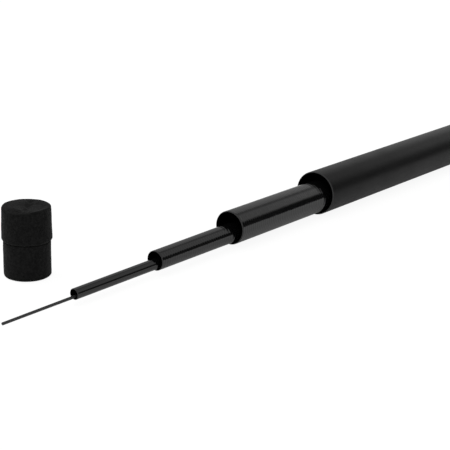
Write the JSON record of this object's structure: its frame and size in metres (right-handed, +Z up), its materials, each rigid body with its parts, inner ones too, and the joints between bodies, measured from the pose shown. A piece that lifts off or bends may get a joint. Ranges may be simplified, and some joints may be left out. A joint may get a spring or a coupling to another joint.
{
  "type": "telescopic fishing pole",
  "caption": "Telescopic carbon fishing pole, closed up with its sections drawn a little way out, a screw cap at the butt and its foam mouth stopper standing beside the tip.",
  "frame": {"origin": "middle of the bottom of the bounding box, on the surface that the pole and the stopper rest on", "axes": "+X along the pole towards its screw cap, +Y towards the side on which the stopper stands, +Z up"},
  "size_m": [1.3919, 0.0852, 0.0408],
  "materials": {
    "matt_carbon": "matt black lacquer on carbon",
    "gloss_carbon": "gloss, unsanded carbon with fine tape ridges",
    "solid_carbon": "satin, ground solid carbon",
    "bare_aluminium": "turned",
    "black_anodised": "satin black anodised aluminium",
    "rubber": "smooth black rubber",
    "pad_foam": "closed-cell foam",
    "stopper_foam": "black closed-cell foam, mottled"
  },
  "bodies": {
    "butt": {"butt_blank": "matt_carbon", "thread_insert": "bare_aluminium"},
    "cap_seals": {"cap_o_ring": "rubber", "cap_pad": "pad_foam"},
    "screw_cap": {"butt_cap": "black_anodised"},
    "section_2": {"section_2_blank": "gloss_carbon"},
    "section_3": {"section_3_blank": "gloss_carbon"},
    "section_4": {"section_4_blank": "gloss_carbon"},
    "tip_section": {"tip_blank": "gloss_carbon", "solid_tip": "solid_carbon"},
    "stopper": {"foam_stopper": "stopper_foam"}
  },
  "joints": [
    {"name": "section_2_slide", "type": "slide", "parent": "butt", "child": "section_2", "axis": [-1, 0, -0.0001], "range_m": [-0.1192, 0.8843]},
    {"name": "section_3_slide", "type": "slide", "parent": "section_2", "child": "section_3", "axis": [-1, 0, 0.0002], "range_m": [-0.0729, 0.9081]},
    {"name": "section_4_slide", "type": "slide", "parent": "section_3", "child": "section_4", "axis": [-1, 0, -0.0015], "range_m": [-0.0677, 0.9103]},
    {"name": "tip_slide", "type": "slide", "parent": "section_4", "child": "tip_section", "axis": [-1, 0, -0.002], "range_m": [-0.0523, 0.9227]},
    {"name": "cap_travel", "type": "slide", "parent": "butt", "child": "cap_seals", "axis": [1, 0, 0.003], "range_m": [0, 0.008]},
    {"name": "cap_turn", "type": "hinge", "parent": "cap_seals", "child": "screw_cap", "pos_m": [0.68692, -0.02485, 0.01828], "axis": [1, 0, 0.003], "range_deg": [0, 1440]},
    {"name": "stopper_lift", "type": "slide", "parent": "butt", "child": "stopper", "axis": [0, 0, 1], "range_m": [0, 0.06]}
  ],
  "couplings": [
    {"joint": "cap_turn", "follows": "cap_travel", "rad_per_m": 3141.6}
  ]
}
